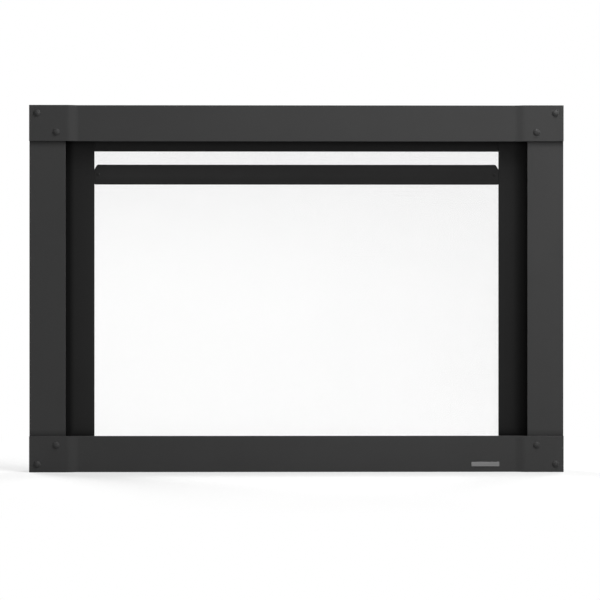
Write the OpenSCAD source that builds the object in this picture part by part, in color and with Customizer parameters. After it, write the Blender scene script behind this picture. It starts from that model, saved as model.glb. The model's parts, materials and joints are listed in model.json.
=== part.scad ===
// Fireplace screen front: a riveted strap frame on a shallow sheet-metal back box,
// a recessed inner frame with an air slot over the fire opening, and a wire screen
// panel that lifts out of guides behind it. X runs right, Y runs back, Z runs up.
// The origin is on the rear mounting face, at the middle of its lower edge.

/* [Overall] */
// Overall width of the strap frame
frame_w = 1066; // [960:1:1300]
// Overall height of the strap frame
frame_h = 732; // [680:1:900]
// Depth of the back box, from the mounting face to the back of the straps
box_depth = 52; // [50:1:80]
// How far the straps reach past the back box all round
overhang = 4; // [2:0.5:8]

/* [Straps] */
// Thickness of the straps
strap_t = 4; // [3:0.5:6]
// Width of the two upright straps
stile_w = 72; // [66:1:78]
// Height of the top strap
top_rail_h = 72; // [66:1:78]
// Height of the bottom strap
bottom_rail_h = 72; // [66:1:80]
// Distance from an upright's inner edge to the start of the rail's step
joggle_gap = 3; // [1:0.5:10]
// Length of the step in the rail
joggle_len = 24; // [14:1:36]
// How far an upright stops short of the rails' outer edges
stile_end_gap = 1; // [0.5:0.5:3]

/* [Corner rivets] */
// Diameter of a corner rivet's domed head
rivet_head_d = 14; // [11:0.5:16]
// Height of a corner rivet's domed head
rivet_head_h = 3.6; // [2.5:0.1:5]
// Diameter of a corner rivet's shank
rivet_shank_d = 7; // [5:0.5:8]
// Diameter of a corner rivet's formed tail
rivet_tail_d = 10.5; // [9:0.5:12]
// Height of a corner rivet's formed tail
rivet_tail_h = 2.4; // [1.5:0.1:3.5]
// Distance of the outer rivet from both outer edges
rivet_outer = 16; // [13:0.5:18]
// Distance of the inner rivet from both outer edges
rivet_inner = 54; // [44:0.5:56]

/* [Back box] */
// Sheet thickness of the back box and of the inner frame
sheet_t = 1.5; // [1:0.1:2]
// Width of the front lips that carry the straps
front_lip = 24; // [22:0.5:28]
// Width of the rear lips that lie on the fireplace
rear_lip = 18; // [14:0.5:22]
// Depth of the top skirt, which leaves the screen panel's path open
top_skirt_depth = 18; // [16:0.5:20]
// Height of the tabs that join the top and bottom skirts to the sides
end_tab_h = 22; // [18:0.5:24]
// Width of the tabs that join the top and bottom skirts to the sides
end_tab_w = 12; // [9:0.5:12]
// Gap between a tab and the front lip
end_tab_gap = 2.5; // [1:0.5:3]
// Gap between sheet pieces that meet edge to edge
fit_gap = 0.2; // [0.1:0.05:0.5]
// Diameter of the two retaining screw holes in the bottom skirt
retain_d = 6.5; // [5:0.1:8]
// Distance between the two retaining screw holes
retain_pitch = 800; // [600:1:840]
// Distance of the retaining screw holes from the mounting face
retain_back = 12; // [8:0.5:16]

/* [Inner frame] */
// Width of the fire opening
opening_w = 813; // [760:1:830]
// How far the inner frame lies behind the front of the straps
recess = 26; // [22:0.5:28]
// Height of the header that shows under the top strap
header_drop = 18; // [10:0.5:26]
// Height of the air slot
slot_h = 26.5; // [15:0.5:36]
// Height of the crossbar
crossbar_h = 40; // [32:0.5:60]
// Width of the folded hems on the crossbar
hem_w = 9; // [6:0.5:10]
// Width of the slanted cut at the crossbar's upper corners
corner_cut_w = 5.5; // [3:0.5:8]
// Height of the slanted cut at the crossbar's upper corners
corner_cut_h = 9; // [5:0.5:12]
// Gap between the crossbar's ends and the jambs
crossbar_gap = 0.2; // [0.2:0.1:1]
// Length of the jamb ears behind the crossbar's ends
ear_l = 20; // [16:0.5:30]
// How far the jamb ears stop short of the crossbar's straight ends, above and below
ear_inset = 1; // [0.5:0.5:3]
// Distance of the crossbar's rivets from the opening's edge
bar_rivet_inset = 8; // [7:0.5:11]
// Overlap of the header and the sill behind the jambs
lap = 14; // [10:0.5:18]
// How far the sill's upper edge hides below the bottom strap's
sill_hide = 8; // [4:0.5:16]
// Depth of the sill's foot on the bottom skirt
sill_foot = 16; // [12:0.5:17]
// How far the sill's foot ends inside the fire opening's edge
sill_foot_inset = 5; // [2:0.5:12]
// Depth of the jambs' outer flanges
jamb_flange = 18; // [14:0.5:20]
// Height of the header's shelf below the top of the back box
shelf_drop = 28; // [26:0.5:30]
// How far the header's lip stops below the top skirt
header_lip_gap = 4; // [2:0.5:6]

/* [Screen panel] */
// How far the screen panel reaches past each side of the opening
screen_lap = 23; // [20:0.5:28]
// Height of the screen panel's lower edge above the back box's underside
screen_z = 30; // [26:0.5:36]
// How far the screen panel reaches above the air slot
screen_over = 32; // [20:0.5:36]
// Thickness of the screen panel
screen_t = 5; // [4:0.1:6]
// Width of the screen panel's edge channels
channel_w = 12; // [10:0.5:14]
// Wall of the screen panel's edge channels
channel_wall = 1; // [0.8:0.1:1.2]
// Width of the wire cloth's folded edge
selvedge_w = 10; // [9.5:0.5:12]
// Thickness of the wire cloth
wire_t = 1; // [0.6:0.1:1.4]
// Width of a wire of the cloth
wire_w = 2; // [1:0.1:3]
// Number of gaps across the wire cloth
net_cols = 20; // [8:1:20]
// Number of gaps up the wire cloth
net_rows = 14; // [6:1:15]
// Running clearance around the screen panel
screen_clear = 0.3; // [0.2:0.05:0.6]

/* [Guides and rests] */
// Sheet thickness of the guides, the rests and the lift tabs
guide_t = 1.5; // [1:0.1:2]
// How far a guide's rear wall reaches over the screen panel's edge
guide_grip = 9; // [6:0.5:11]
// Width of a guide's foot on the jamb
guide_foot = 20; // [14:0.5:26]
// Height of the guides' lower ends above the screen panel's lower edge
guide_rise = 10; // [4:0.5:20]
// Length of the guides
guide_len = 560; // [400:1:600]
// Width of a rest bracket
rest_w = 40; // [34:0.5:60]
// Distance of a rest bracket's middle from the centre line
rest_x = 350; // [200:1:370]
// Height of a rest bracket's leg
rest_leg = 20; // [17:0.5:22]
// Height of a rest bracket's lip
rest_lip = 8; // [5:0.5:12]
// Distance between the two screws of a rest bracket
rest_screw_pitch = 22; // [16:0.5:24]
// Distance of a rest bracket's screws from the leg's lower end
rest_screw_up = 7; // [6:0.5:8]
// Width of a lift tab
tab_w = 40; // [25:0.5:60]
// Height of a lift tab
tab_h = 18; // [12:0.5:22]
// How far a lift tab's finger edge reaches back
tab_reach = 10; // [6:0.5:12]
// Distance of a lift tab's middle from the centre line
tab_x = 160; // [60:1:300]

/* [Hangers] */
// Thickness of the hanger brackets
hanger_t = 2; // [1.5:0.1:3]
// Height of the hanger brackets
hanger_h = 440; // [400:1:480]
// Height of the hangers' lower ends
hanger_z = 150; // [120:1:160]
// Width of a hanger's flange on the rear lip
hanger_w = 26; // [22:0.5:30]
// Depth of a hanger's leg
hanger_leg = 18; // [10:0.5:22]
// Gap between a hanger's flange and the skirt's side
hanger_gap = 1; // [0.5:0.1:2]
// How far a hook reaches behind the mounting face
hook_reach = 16; // [13:0.5:22]
// Height of a hook's arm
hook_h = 14; // [10:0.5:20]
// Thickness of a hook's nose
nose_t = 5; // [3:0.5:7]
// How far a hook's nose hangs below its arm
nose_drop = 12; // [8:0.5:18]
// Distance of the hooks from the hanger's ends
hook_end = 50; // [30:1:70]
// Distance of the outer hanger screws from the hanger's ends
hanger_screw_end = 20; // [10:0.5:26]
// Distance of the hanger screws from the skirt's outer face
hanger_screw_x = 10; // [8.5:0.5:12]
// Diameter of the hanger screws
hanger_screw_d = 5; // [4:0.5:6]
// Diameter of the hanger screws' heads
hanger_head_d = 9.5; // [8.5:0.5:10]
// Height of the hanger screws' heads
hanger_head_h = 2.75; // [2:0.05:3.5]

/* [Studs and nuts] */
// Diameter of the weld studs on the straps
stud_d = 5; // [4:0.5:6]
// Length of the weld studs
stud_l = 12; // [11:0.5:14]
// Distance of the weld studs from the straps' outer edges
stud_edge = 16; // [14:0.5:17]
// Number of weld studs on an upright strap
stile_studs = 4; // [2:1:6]
// Distance of the end studs from the ends of an upright strap
stile_stud_end = 94; // [80:1:140]
// Number of weld studs on a rail
rail_studs = 5; // [3:1:7]
// Distance of the end studs from the ends of a rail
rail_stud_end = 143; // [130:1:180]
// Clearance of the holes around studs, rivets and screws, on the radius
hole_clear = 0.25; // [0.1:0.05:0.4]
// Clearance of nuts and tapped holes around their screws, on the radius
nut_clear = 0.05; // [0.02:0.01:0.1]
// Width of a flange nut across its flats
nut_af = 8; // [7.5:0.1:10]
// Height of a flange nut
nut_h = 4.5; // [3:0.1:5]
// Diameter of a nut's flange
nut_flange_d = 11.8; // [10.5:0.1:12]
// Thickness of a nut's flange
nut_flange_t = 1.1; // [0.8:0.1:1.5]

/* [Panel screws and small rivets] */
// Diameter of the panel screws
screw_d = 4; // [3:0.1:4.5]
// Length of the panel screws under the head
screw_l = 8; // [6:0.5:9]
// Diameter of the panel screws' heads
screw_head_d = 8; // [6.5:0.1:9]
// Height of the panel screws' heads
screw_head_h = 2.4; // [1.8:0.1:3]
// Number of screws along each jamb
jamb_screws = 3; // [2:1:5]
// Distance of the end screws from the ends of a jamb
jamb_screw_end = 90; // [40:1:120]
// Number of screws along the sill
sill_screws = 3; // [2:1:5]
// Distance of the end screws from the ends of the sill's foot
sill_screw_end = 100; // [30:1:140]
// Diameter of a small rivet's shank
pop_d = 3.2; // [2.4:0.1:4]
// Diameter of a small rivet's head
pop_head_d = 6.5; // [5:0.1:7]
// Height of a small rivet's head
pop_head_h = 1.1; // [0.8:0.1:1.5]
// Diameter of a small rivet's tail
pop_tail_d = 4.8; // [4.2:0.1:5.5]
// Height of a small rivet's tail
pop_tail_h = 2; // [1:0.1:2.5]
// Distance between the two small rivets of a corner tab
pop_pitch = 11; // [8:0.5:12]

/* [Nameplate] */
// Width of the blank nameplate
plate_w = 56; // [40:0.5:80]
// Height of the blank nameplate
plate_h = 9; // [6:0.5:14]
// Thickness of the blank nameplate
plate_t = 0.8; // [0.5:0.1:1.5]
// Distance of the nameplate's middle from the bottom strap's right-hand end
plate_x = 156; // [130:1:533]
// Distance of the nameplate's middle from the bottom strap's lower edge
plate_up = 15.5; // [8:0.5:40]
// Radius of the nameplate's corners
plate_r = 1.5; // [0.5:0.1:3]

/* [Hidden] */

strap_black = [0.21, 0.21, 0.21];
sheet_black = [0.15, 0.15, 0.15];
screen_black = [0.12, 0.12, 0.12];
cloth_steel = [0.62, 0.62, 0.61];
zinc = [0.62, 0.63, 0.64];
plate_grey = [0.42, 0.42, 0.42];

// Planes across the depth, from the front to the back
rail_front_y = -box_depth - strap_t;
end_front_y = rail_front_y - strap_t;
strap_back_y = -box_depth;
lip_back_y = strap_back_y + sheet_t;
face_y = rail_front_y + recess;
lap_y = face_y + sheet_t;
lap_back_y = lap_y + sheet_t;
screen_front_y = lap_back_y + screen_clear;
screen_back_y = screen_front_y + screen_t;
screen_mid_y = (screen_front_y + screen_back_y) / 2;

// Places across the width, measured from the centre line
half_w = frame_w / 2;
box_half = half_w - overhang;
web_in = box_half - sheet_t;
half_open = opening_w / 2;
half_lap = half_open + lap;
half_screen = half_open + screen_lap;

// Heights
low_z = -overhang;
high_z = frame_h - overhang;
box_h = frame_h - 2 * overhang;
top_rail_z = high_z - top_rail_h;
bottom_rail_z = low_z + bottom_rail_h;
slot_top_z = top_rail_z - header_drop;
bar_top_z = slot_top_z - slot_h;
bar_low_z = bar_top_z - crossbar_h;
bar_mid_z = (bar_top_z + bar_low_z) / 2;
ear_low_z = bar_low_z + ear_inset;
ear_high_z = bar_top_z - corner_cut_h - ear_inset;
sill_top_z = bottom_rail_z - sill_hide;
shelf_z = box_h - shelf_drop;
jamb_low_z = sheet_t + fit_gap;
jamb_high_z = shelf_z - fit_gap;
screen_top_z = slot_top_z + screen_over;
guide_low_z = screen_z + guide_rise;
rest_z = screen_z - screen_clear;

// Places that several pieces share
outer_x = half_w - rivet_outer;
inner_x = half_w - rivet_inner;
stud_x = half_w - stud_edge;
jamb_screw_y = face_y + jamb_flange / 2;
sill_screw_y = lap_y - sill_foot / 2;
tab_y = lip_back_y + end_tab_gap + end_tab_w / 2;
hanger_screw_place = box_half - hanger_screw_x;
hook_low_z = hanger_z + hook_end - hook_h / 2;
hook_high_z = hanger_z + hanger_h - hook_end - hook_h / 2;
bar_rivet_x = half_open - bar_rivet_inset;
rest_screw_z = rest_z - rest_leg + rest_screw_up;
plate_mid_x = half_w - plate_x;

$fn = 48;
// How far a cutting shape runs past the faces that it cuts
cut = 1;

// Count places, evenly spaced between two ends
function spread(a, b, count) = [for (i = [0:count - 1]) a + (b - a) * i / (count - 1)];

stile_stud_zs = spread(low_z + stile_stud_end, high_z - stile_stud_end, stile_studs);
rail_stud_xs = spread(-half_w + rail_stud_end, half_w - rail_stud_end, rail_studs);
jamb_screw_zs = spread(jamb_low_z + jamb_screw_end, jamb_high_z - jamb_screw_end, jamb_screws);
sill_screw_xs = spread(-half_open + sill_screw_end, half_open - sill_screw_end, sill_screws);
hanger_screw_zs = spread(hanger_z + hanger_screw_end,
    hanger_z + hanger_h - hanger_screw_end, 3);
outer_rivet_zs = [low_z + rivet_outer, high_z - rivet_outer];
inner_rivet_zs = [low_z + rivet_inner, high_z - rivet_inner];
low_tab_z = sheet_t + end_tab_h / 2;
high_tab_z = box_h - sheet_t - end_tab_h / 2;
tab_rivet_zs = [for (z = [low_tab_z, high_tab_z]) for (s = [-1, 1]) z + s * pop_pitch / 2];
rest_screw_xs = [for (s = [-1, 1]) rest_x + s * rest_screw_pitch / 2];

// A box between two corners
module block(low, high) {
    translate(low) cube(high - low);
}

// A round bar along Y
module bar_y(d, x, y0, y1, z) {
    translate([x, y0, z]) rotate([-90, 0, 0]) cylinder(d = d, h = y1 - y0);
}

// A round bar along X
module bar_x(d, x0, x1, y, z) {
    translate([x0, y, z]) rotate([0, 90, 0]) cylinder(d = d, h = x1 - x0);
}

// A round bar along Z
module bar_z(d, x, y, z0, z1) {
    translate([x, y, z0]) cylinder(d = d, h = z1 - z0);
}

// A domed cap that rises along Z from z = 0
module dome(d, h) {
    ball = (d * d / 4 + h * h) / (2 * h);
    rotate_extrude() intersection() {
        translate([0, h - ball]) circle(r = ball, $fn = 96);
        square([d / 2, h]);
    }
}

// The same piece on both sides of the centre line
module both_sides() {
    for (s = [0, 1]) mirror([s, 0, 0]) children();
}

// Depth of a rail's front at a distance from its end: proud over the upright, then stepping back
function step_share(x) = x < stile_w + joggle_gap ? 0
    : x > stile_w + joggle_gap + joggle_len ? 1
    : (1 - cos(180 * (x - stile_w - joggle_gap) / joggle_len)) / 2;
step_xs = [0, for (i = [0:14]) stile_w + joggle_gap + joggle_len * i / 14];
rail_half = [for (x = step_xs) [half_w - x, end_front_y + strap_t * step_share(x)]];
rail_line = concat([for (p = rail_half) [-p.x, p.y]],
    [for (i = [len(rail_half) - 1:-1:0]) rail_half[i]]);
rail_outline = concat(rail_line,
    [for (i = [len(rail_line) - 1:-1:0]) rail_line[i] + [0, strap_t]]);

module rail(z, h) {
    difference() {
        translate([0, 0, z]) linear_extrude(height = h) polygon(rail_outline);
        for (x = [-outer_x, outer_x]) for (rz = outer_rivet_zs)
            bar_y(rivet_shank_d + 2 * hole_clear, x, end_front_y - cut, strap_back_y + cut, rz);
        for (x = [-inner_x, inner_x]) for (rz = inner_rivet_zs)
            bar_y(rivet_shank_d + 2 * hole_clear, x, end_front_y - cut, strap_back_y + cut, rz);
    }
}

module top_rail() {
    color(strap_black) rail(top_rail_z, top_rail_h);
}

module bottom_rail() {
    color(strap_black) rail(low_z, bottom_rail_h);
}

module stile() {
    difference() {
        block([half_w - stile_w, rail_front_y, low_z + stile_end_gap],
            [half_w, strap_back_y, high_z - stile_end_gap]);
        for (z = outer_rivet_zs)
            bar_y(rivet_shank_d + 2 * hole_clear, outer_x, rail_front_y - cut, strap_back_y + cut, z);
        for (z = inner_rivet_zs)
            bar_y(rivet_shank_d + 2 * hole_clear, inner_x, rail_front_y - cut, strap_back_y + cut, z);
    }
}

module left_stile() {
    color(strap_black) mirror([1, 0, 0]) stile();
}

module right_stile() {
    color(strap_black) stile();
}

// A set rivet through the rail end and what lies behind it, down to the tail plane
module corner_rivet(x, z, tail_y) {
    translate([x, end_front_y, z]) rotate([90, 0, 0]) dome(rivet_head_d, rivet_head_h);
    bar_y(rivet_shank_d, x, end_front_y, tail_y, z);
    translate([x, tail_y, z]) rotate([-90, 0, 0]) dome(rivet_tail_d, rivet_tail_h);
}

module outer_rivets() {
    color(strap_black) both_sides() for (z = outer_rivet_zs) corner_rivet(outer_x, z, lip_back_y);
}

module inner_rivets() {
    color(strap_black) both_sides() for (z = inner_rivet_zs) corner_rivet(inner_x, z, strap_back_y);
}

// Calls its children at every weld stud of the straps
module at_stile_studs() {
    both_sides() for (z = stile_stud_zs) translate([stud_x, 0, z]) children();
}

module at_top_studs() {
    for (x = rail_stud_xs) translate([x, 0, high_z - stud_edge]) children();
}

module at_bottom_studs() {
    for (x = rail_stud_xs) translate([x, 0, low_z + stud_edge]) children();
}

module stud() {
    bar_y(stud_d, 0, strap_back_y, strap_back_y + stud_l, 0);
}

module stud_hole() {
    bar_y(stud_d + 2 * hole_clear, 0, strap_back_y - cut, strap_back_y + 3 * sheet_t, 0);
}

module strap_studs() {
    color(zinc) {
        at_stile_studs() stud();
        at_top_studs() stud();
        at_bottom_studs() stud();
    }
}

// A flange nut whose flange sits on the plane y = seat_y
module flange_nut(seat_y) {
    difference() {
        union() {
            bar_y(nut_flange_d, 0, seat_y, seat_y + nut_flange_t, 0);
            translate([0, seat_y, 0]) rotate([-90, 0, 0])
                cylinder(d = nut_af / cos(30), h = nut_h, $fn = 6);
        }
        bar_y(stud_d + 2 * nut_clear, 0, seat_y - cut, seat_y + nut_h + cut, 0);
    }
}

module strap_nuts() {
    color(zinc) {
        at_stile_studs() flange_nut(lip_back_y);
        at_top_studs() flange_nut(lip_back_y + sheet_t);
        at_bottom_studs() flange_nut(lip_back_y);
    }
}

// Right-hand side of the back box
module side_skirt() {
    difference() {
        union() {
            block([web_in, strap_back_y, 0], [box_half, 0, box_h]);
            block([box_half - front_lip, strap_back_y, 0], [box_half, lip_back_y, box_h]);
            block([box_half - rear_lip, -sheet_t, 0], [box_half, 0, box_h]);
        }
        at_stile_studs() stud_hole();
        for (z = outer_rivet_zs)
            bar_y(rivet_shank_d + 2 * hole_clear, outer_x, strap_back_y - cut, lip_back_y + cut, z);
        for (z = jamb_screw_zs)
            bar_x(screw_d + 2 * hole_clear, web_in - cut, box_half + cut, jamb_screw_y, z);
        for (z = tab_rivet_zs)
            bar_x(pop_d + 2 * hole_clear, web_in - cut, box_half + cut, tab_y, z);
        for (z = hanger_screw_zs)
            bar_y(hanger_screw_d + 2 * nut_clear, hanger_screw_place, -sheet_t - cut, cut, z);
    }
}

module left_skirt() {
    color(sheet_black) mirror([1, 0, 0]) side_skirt();
}

module right_skirt() {
    color(sheet_black) side_skirt();
}

// A tab that joins a skirt to the side of the box, centred on height z
module end_tab(z) {
    difference() {
        block([web_in - sheet_t, tab_y - end_tab_w / 2, z - end_tab_h / 2],
            [web_in, tab_y + end_tab_w / 2, z + end_tab_h / 2]);
        for (s = [-1, 1])
            bar_x(pop_d + 2 * hole_clear, web_in - sheet_t - cut, web_in + cut,
                tab_y, z + s * pop_pitch / 2);
    }
}

lip_end_x = box_half - front_lip - fit_gap;

module top_skirt() {
    color(sheet_black) {
        difference() {
            union() {
                block([-web_in, lip_back_y, box_h - sheet_t],
                    [web_in, strap_back_y + top_skirt_depth, box_h]);
                block([-lip_end_x, strap_back_y, box_h - front_lip], [lip_end_x, lip_back_y, box_h]);
                both_sides() end_tab(high_tab_z);
            }
            at_top_studs() stud_hole();
        }
    }
}

module bottom_skirt() {
    rear_end_x = box_half - rear_lip - fit_gap;
    color(sheet_black) {
        difference() {
            union() {
                block([-web_in, lip_back_y, 0], [web_in, -sheet_t, sheet_t]);
                block([-lip_end_x, strap_back_y, 0], [lip_end_x, lip_back_y, front_lip]);
                block([-rear_end_x, -sheet_t, 0], [rear_end_x, 0, rear_lip]);
                both_sides() end_tab(low_tab_z);
            }
            at_bottom_studs() stud_hole();
            for (x = sill_screw_xs)
                bar_z(screw_d + 2 * hole_clear, x, sill_screw_y, -cut, sheet_t + cut);
            for (s = [-1, 1])
                bar_z(retain_d, s * retain_pitch / 2, -retain_back, -cut, sheet_t + cut);
        }
    }
}

// Small rivets that join the skirts, heads on the outside
module skirt_rivets() {
    color(sheet_black) both_sides() for (z = tab_rivet_zs) {
        translate([box_half, tab_y, z]) rotate([0, 90, 0]) dome(pop_head_d, pop_head_h);
        bar_x(pop_d, web_in - sheet_t, box_half, tab_y, z);
        bar_x(pop_tail_d, web_in - sheet_t - pop_tail_h, web_in - sheet_t, tab_y, z);
    }
}

// Right-hand jamb: face, outer flange on the skirt and an ear behind the crossbar
module jamb() {
    difference() {
        union() {
            block([half_open, face_y, jamb_low_z], [web_in, lap_y, jamb_high_z]);
            block([web_in - sheet_t, face_y, jamb_low_z],
                [web_in, face_y + jamb_flange, jamb_high_z]);
            block([half_open - ear_l, lap_y, ear_low_z], [half_open + lap, lap_back_y, ear_high_z]);
        }
        for (z = jamb_screw_zs)
            bar_x(screw_d + 2 * nut_clear, web_in - sheet_t - cut, web_in + cut, jamb_screw_y, z);
        bar_y(pop_d + 2 * nut_clear, bar_rivet_x, lap_y - cut, lap_back_y + cut, bar_mid_z);
    }
}

module left_jamb() {
    color(sheet_black) mirror([1, 0, 0]) jamb();
}

module right_jamb() {
    color(sheet_black) jamb();
}

// Header: a face behind the jambs, a shelf that runs forward and a lip on the top skirt
module header_panel() {
    color(sheet_black) difference() {
        union() {
            block([-half_lap, lap_y, slot_top_z], [half_lap, lap_back_y, shelf_z + sheet_t]);
            block([-half_lap, lip_back_y, shelf_z], [half_lap, lap_back_y, shelf_z + sheet_t]);
            block([-half_lap, lip_back_y, shelf_z],
                [half_lap, lip_back_y + sheet_t, box_h - header_lip_gap]);
        }
        at_top_studs() stud_hole();
    }
}

// Sill: a face behind the jambs and a foot on the bottom skirt
module sill_panel() {
    foot_x = half_open - sill_foot_inset;
    color(sheet_black) difference() {
        union() {
            block([-half_lap, lap_y, sheet_t], [half_lap, lap_back_y, sill_top_z]);
            block([-foot_x, lap_y - sill_foot, sheet_t], [foot_x, lap_back_y, 2 * sheet_t]);
        }
        for (x = sill_screw_xs)
            bar_z(screw_d + 2 * nut_clear, x, sill_screw_y, 0, 3 * sheet_t);
        both_sides() for (x = rest_screw_xs)
            bar_y(screw_d + 2 * nut_clear, x, lap_y - cut, lap_back_y + cut, rest_screw_z);
    }
}

// Crossbar: a face between the jambs with slanted upper corners and two folded hems
module crossbar() {
    end_x = half_open - crossbar_gap;
    hem_x = half_open - ear_l - fit_gap;
    half_face = [[0, 0], [end_x, 0], [end_x, crossbar_h - corner_cut_h],
        [end_x - corner_cut_w, crossbar_h], [0, crossbar_h]];
    color(sheet_black) difference() {
        union() {
            translate([0, lap_y, bar_low_z]) rotate([90, 0, 0]) linear_extrude(height = sheet_t)
                for (s = [0, 1]) mirror([s, 0]) polygon(half_face);
            block([-hem_x, lap_y, bar_top_z - hem_w], [hem_x, lap_back_y, bar_top_z]);
            block([-hem_x, lap_y, bar_low_z], [hem_x, lap_back_y, bar_low_z + hem_w]);
        }
        both_sides() bar_y(pop_d + 2 * nut_clear, bar_rivet_x, face_y - cut, lap_back_y, bar_mid_z);
    }
}

// Rivets at the crossbar's ends, set flush behind so that the screen panel can pass
module crossbar_rivets() {
    color(sheet_black) both_sides() {
        translate([bar_rivet_x, face_y, bar_mid_z]) rotate([90, 0, 0]) dome(pop_head_d, pop_head_h);
        bar_y(pop_d, bar_rivet_x, face_y, lap_back_y, bar_mid_z);
    }
}

// A panel screw that points along Z from its seat at z = 0, head below
module panel_screw() {
    cylinder(d = screw_d, h = screw_l);
    mirror([0, 0, 1]) dome(screw_head_d, screw_head_h);
}

module panel_screws() {
    color(zinc) {
        both_sides() for (z = jamb_screw_zs)
            translate([box_half, jamb_screw_y, z]) rotate([0, -90, 0]) panel_screw();
        for (x = sill_screw_xs) translate([x, sill_screw_y, 0]) panel_screw();
        both_sides() for (x = rest_screw_xs)
            translate([x, lap_back_y + guide_t, rest_screw_z]) rotate([90, 0, 0]) panel_screw();
    }
}

// Right-hand guide: a foot on the jamb, a side wall and a rear wall over the screen's edge
module guide() {
    side_x = half_screen + screen_clear;
    rear_y = screen_back_y + screen_clear;
    top_z = guide_low_z + guide_len;
    block([side_x, lap_y, guide_low_z], [side_x + guide_t + guide_foot, lap_y + guide_t, top_z]);
    block([side_x, lap_y, guide_low_z], [side_x + guide_t, rear_y + guide_t, top_z]);
    block([side_x - screen_clear - guide_grip, rear_y, guide_low_z],
        [side_x + guide_t, rear_y + guide_t, top_z]);
}

module left_guide() {
    color(sheet_black) mirror([1, 0, 0]) guide();
}

module right_guide() {
    color(sheet_black) guide();
}

// Right-hand rest: a leg on the sill, a shelf under the screen panel and a lip behind it
module rest() {
    x0 = rest_x - rest_w / 2;
    x1 = rest_x + rest_w / 2;
    lip_y = screen_back_y + screen_clear;
    difference() {
        union() {
            block([x0, lap_back_y, rest_z - rest_leg], [x1, lap_back_y + guide_t, rest_z]);
            block([x0, lap_back_y, rest_z - guide_t], [x1, lip_y + guide_t, rest_z]);
            block([x0, lip_y, rest_z - guide_t], [x1, lip_y + guide_t, rest_z + rest_lip]);
        }
        for (x = rest_screw_xs)
            bar_y(screw_d + 2 * hole_clear, x, lap_back_y - cut, lap_back_y + guide_t + cut,
                rest_screw_z);
    }
}

module left_rest() {
    color(sheet_black) mirror([1, 0, 0]) rest();
}

module right_rest() {
    color(sheet_black) rest();
}

// Right-hand hanger: a flange on the rear lip and a leg with two hooks
module hanger() {
    x1 = web_in - hanger_gap;
    x0 = x1 - hanger_w;
    back_y = -sheet_t;
    difference() {
        union() {
            block([x0, back_y - hanger_t, hanger_z], [x1, back_y, hanger_z + hanger_h]);
            block([x0, back_y - hanger_leg, hanger_z], [x0 + hanger_t, back_y, hanger_z + hanger_h]);
            for (z = [hook_low_z, hook_high_z]) {
                block([x0, back_y - hanger_t, z], [x0 + hanger_t, hook_reach, z + hook_h]);
                block([x0, hook_reach - nose_t, z - nose_drop], [x0 + hanger_t, hook_reach, z + hook_h]);
            }
        }
        for (z = hanger_screw_zs)
            bar_y(hanger_screw_d + 2 * hole_clear, hanger_screw_place,
                back_y - hanger_t - cut, back_y + cut, z);
    }
}

module left_hanger() {
    color(sheet_black) mirror([1, 0, 0]) hanger();
}

module right_hanger() {
    color(sheet_black) hanger();
}

module hanger_screws() {
    color(zinc) both_sides() for (z = hanger_screw_zs) {
        translate([hanger_screw_place, -sheet_t - hanger_t, z]) rotate([90, 0, 0])
            dome(hanger_head_d, hanger_head_h);
        bar_y(hanger_screw_d, hanger_screw_place, -sheet_t - hanger_t, 0, z);
    }
}

// Blank plate near the right-hand end of the bottom rail
module nameplate() {
    color(plate_grey) translate([plate_mid_x, rail_front_y, low_z + plate_up]) rotate([90, 0, 0])
        linear_extrude(height = plate_t) union() {
            square([plate_w - 2 * plate_r, plate_h], center = true);
            square([plate_w, plate_h - 2 * plate_r], center = true);
            for (sx = [-1, 1]) for (sy = [-1, 1])
                translate([sx * (plate_w / 2 - plate_r), sy * (plate_h / 2 - plate_r)])
                    circle(r = plate_r);
        }
}

// Edges of the folded wire cloth inside the channels
net_half = half_screen - channel_wall;
net_low_z = screen_z + channel_wall;
net_high_z = screen_top_z - channel_wall;

// Wire cloth: a net of square bars with a folded edge as thick as the channels' inside
module screen_mesh() {
    field_w = 2 * (net_half - selvedge_w);
    field_h = net_high_z - net_low_z - 2 * selvedge_w;
    pitch_x = (field_w + wire_w) / net_cols;
    pitch_z = (field_h + wire_w) / net_rows;
    edge_t = screen_t - 2 * channel_wall;
    color(cloth_steel) translate([0, screen_mid_y, net_low_z + selvedge_w]) rotate([90, 0, 0]) {
        linear_extrude(height = wire_t, center = true) difference() {
            translate([-field_w / 2 - cut, -cut]) square([field_w + 2 * cut, field_h + 2 * cut]);
            for (i = [0:net_cols - 1]) for (j = [0:net_rows - 1])
                translate([-field_w / 2 + i * pitch_x, j * pitch_z])
                    square([pitch_x - wire_w, pitch_z - wire_w]);
        }
        linear_extrude(height = edge_t, center = true) difference() {
            translate([-net_half, -selvedge_w]) square([2 * net_half, field_h + 2 * selvedge_w]);
            translate([-field_w / 2, 0]) square([field_w, field_h]);
        }
    }
}

// Upright edge channel of the screen panel, on the right
module side_channel() {
    difference() {
        block([half_screen - channel_w, screen_front_y, screen_z],
            [half_screen, screen_back_y, screen_top_z]);
        block([half_screen - channel_w - cut, screen_front_y + channel_wall, screen_z - cut],
            [half_screen - channel_wall, screen_back_y - channel_wall, screen_top_z + cut]);
    }
}

module screen_left_channel() {
    color(screen_black) mirror([1, 0, 0]) side_channel();
}

module screen_right_channel() {
    color(screen_black) side_channel();
}

// Level edge channel of the screen panel, between the upright ones
module screen_top_channel() {
    end_x = half_screen - channel_w;
    color(screen_black) difference() {
        block([-end_x, screen_front_y, screen_top_z - channel_w], [end_x, screen_back_y, screen_top_z]);
        block([-end_x - cut, screen_front_y + channel_wall, screen_top_z - channel_w - cut],
            [end_x + cut, screen_back_y - channel_wall, net_high_z]);
    }
}

module screen_bottom_channel() {
    end_x = half_screen - channel_w;
    color(screen_black) difference() {
        block([-end_x, screen_front_y, screen_z], [end_x, screen_back_y, screen_z + channel_w]);
        block([-end_x - cut, screen_front_y + channel_wall, net_low_z],
            [end_x + cut, screen_back_y - channel_wall, screen_z + channel_w + cut]);
    }
}

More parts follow.
